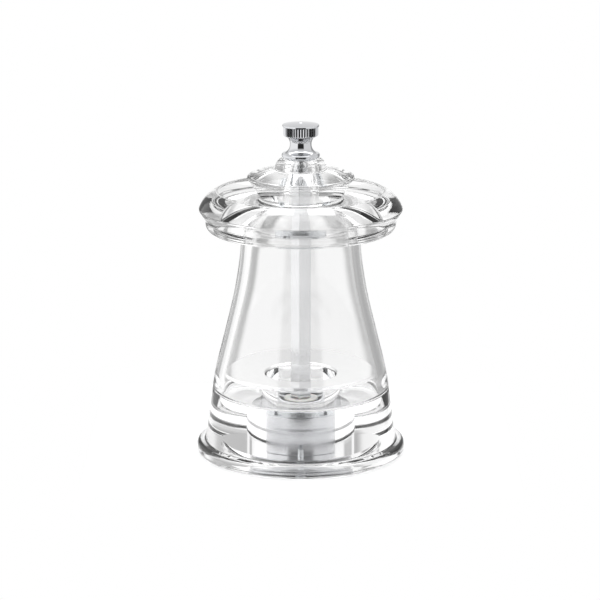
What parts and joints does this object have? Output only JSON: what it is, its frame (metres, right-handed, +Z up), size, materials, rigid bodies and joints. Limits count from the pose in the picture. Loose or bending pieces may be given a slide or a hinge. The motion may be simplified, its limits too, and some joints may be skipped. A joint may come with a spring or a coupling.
{
  "type": "pepper mill",
  "caption": "Clear acrylic table pepper mill with a bell body, a turned rim head, a chromed knurled adjusting knob and a square shaft to a toothed metal grinder.",
  "frame": {"origin": "centre of the base flange's underside, on the table", "axes": "+Z up along the mill's axis, +X to the right as seen from the front, +Y away from the front"},
  "size_m": [0.0684, 0.0684, 0.11],
  "materials": {
    "clear_acrylic": "polished clear",
    "satin_nickel": "satin plated",
    "zinc_steel": "bright zinc plated",
    "burr_steel": "hardened, machined",
    "spring_steel": "drawn wire",
    "satin_aluminium": "drawn satin",
    "acetal": "turned",
    "chrome": "bright chrome plated"
  },
  "bodies": {
    "body": {"body_shell": "clear_acrylic", "funnel_insert": "clear_acrylic", "mechanism_housing": "satin_nickel", "stator": "burr_steel", "shaft_bridge": "zinc_steel", "shaft_bush": "acetal", "retaining_clip": "spring_steel", "base_plate": "satin_nickel", "base_plate_screws": "zinc_steel"},
    "drive": {"thrust_washer": "zinc_steel"},
    "spindle": {"shaft": "satin_aluminium", "adjusting_spring": "spring_steel", "spring_seat_washer": "zinc_steel", "rotor": "burr_steel", "rotor_washer": "zinc_steel", "rotor_nut": "zinc_steel"},
    "head": {"head": "clear_acrylic", "drive_plate": "zinc_steel", "drive_plate_screws": "zinc_steel"},
    "knob": {"knob": "chrome"}
  },
  "joints": [
    {"name": "mill_turn", "type": "hinge", "parent": "body", "child": "drive", "pos_m": [0, 0, 0.0146], "axis": [0, 0, 1], "continuous": true},
    {"name": "shaft_adjust", "type": "slide", "parent": "drive", "child": "spindle", "axis": [0, 0, 1], "range_m": [-0.0012, 0], "deforming": ["adjusting_spring"]},
    {"name": "head_lift", "type": "slide", "parent": "drive", "child": "head", "axis": [0, 0, 1], "range_m": [0, 0.04]},
    {"name": "knob_turn", "type": "hinge", "parent": "head", "child": "knob", "pos_m": [0, 0, 0.104], "axis": [0, 0, 1], "range_deg": [0, 540]}
  ],
  "couplings": [
    {"joint": "knob_turn", "follows": "shaft_adjust", "rad_per_m": -7850}
  ]
}
